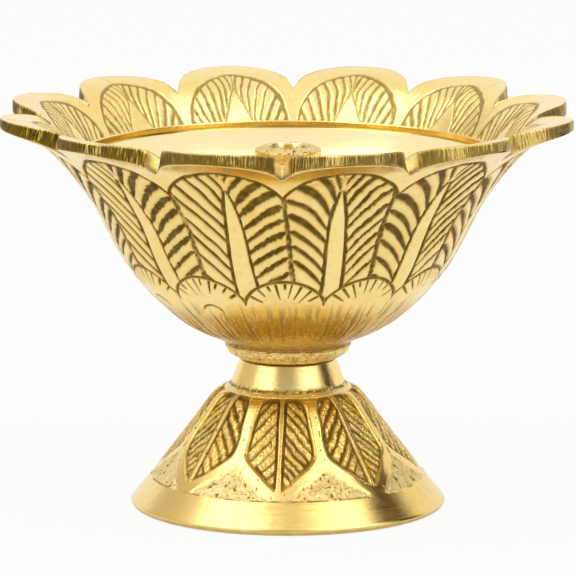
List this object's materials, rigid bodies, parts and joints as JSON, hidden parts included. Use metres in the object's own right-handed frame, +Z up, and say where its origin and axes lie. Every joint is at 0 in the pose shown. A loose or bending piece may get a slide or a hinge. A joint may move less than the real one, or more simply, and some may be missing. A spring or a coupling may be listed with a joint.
{
  "type": "oil lamp",
  "caption": "Footed brass oil lamp (diya): a carved, petal-rimmed bowl with a flower-headed wick post, on a bell-shaped hollow foot.",
  "frame": {"origin": "centre of the foot's standing face", "axes": "+Z up along the lamp's axis; -Y is the front, where a notch between two petals lies; +X is its right side"},
  "size_m": [0.1004, 0.1004, 0.0712],
  "materials": {
    "foot_brass": "polished cast brass with dark patina in the carving",
    "bowl_brass": "polished cast brass with dark patina in the carving, turned inside",
    "post_brass": "turned brass with a stippled cast head",
    "hardware_brass": "plain machined brass",
    "fibre": "oiled brown fibre sheet"
  },
  "bodies": {
    "lamp": {"foot": "foot_brass", "bowl": "bowl_brass", "tie_stud": "hardware_brass", "hex_nut": "hardware_brass", "flat_washer": "hardware_brass"},
    "seal": {"oil_seal": "fibre"},
    "post": {"wick_post": "post_brass"}
  },
  "joints": [
    {"name": "post_rise", "type": "slide", "parent": "lamp", "child": "seal", "axis": [0, 0, 1], "range_m": [0, 0.0064]},
    {"name": "post_unscrew", "type": "hinge", "parent": "seal", "child": "post", "pos_m": [0, 0, 0.034], "axis": [0, 0, 1], "range_deg": [0, 2880]}
  ],
  "couplings": [
    {"joint": "post_rise", "follows": "post_unscrew", "m_per_rad": 0.00012732}
  ]
}
